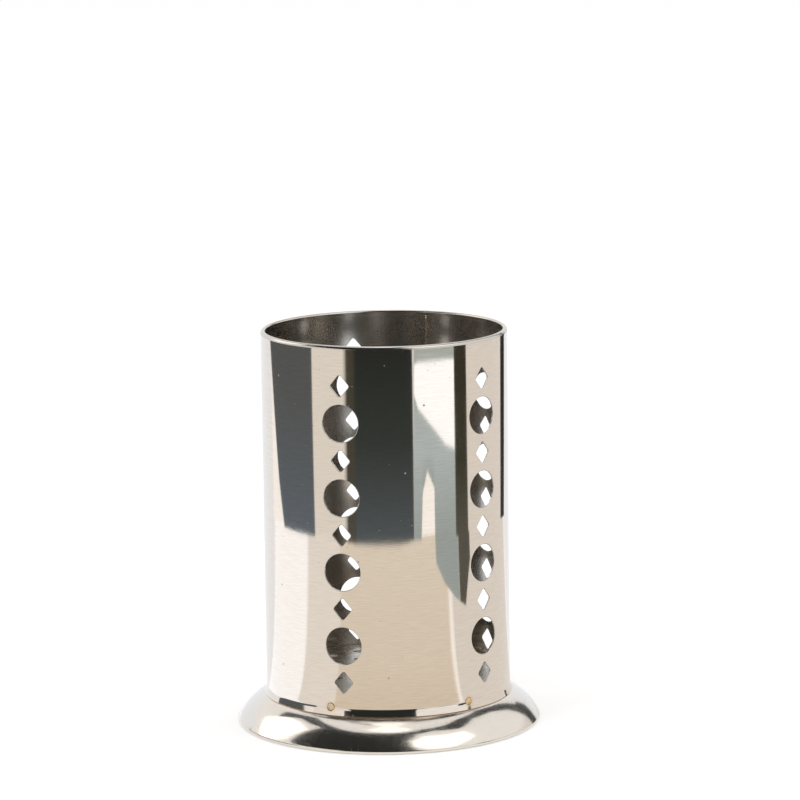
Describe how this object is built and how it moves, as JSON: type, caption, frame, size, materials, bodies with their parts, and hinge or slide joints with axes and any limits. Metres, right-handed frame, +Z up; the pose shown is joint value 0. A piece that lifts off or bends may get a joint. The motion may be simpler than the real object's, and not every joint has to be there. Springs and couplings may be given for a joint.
{
  "type": "chopstick holder",
  "caption": "Open round stainless-steel chopstick holder: perforated tube with a rolled rim, spot-welded on a flared base ring that carries a drain floor.",
  "frame": {"origin": "centre of the resting plane under the base ring", "axes": "+Z up along the tube's axis; -Y towards the viewer of the picture, +X to that viewer's right"},
  "size_m": [0.124, 0.124, 0.162],
  "materials": {
    "polished_tube_steel": "mirror-polished stainless sheet with faint brushing round the tube",
    "polished_base_steel": "polished stainless sheet, slightly softer than the tube",
    "satin_floor_steel": "satin stainless sheet",
    "ground_weld_steel": "ground and polished butt weld",
    "heat_tinted_steel": "spot-weld face with a straw-coloured heat tint"
  },
  "bodies": {
    "root": {"tube_wall": "polished_tube_steel", "seam_weld": "ground_weld_steel", "base_ring": "polished_base_steel", "drain_floor": "satin_floor_steel", "collar_spot_welds": "heat_tinted_steel", "floor_spot_welds": "heat_tinted_steel"}
  },
  "joints": []
}
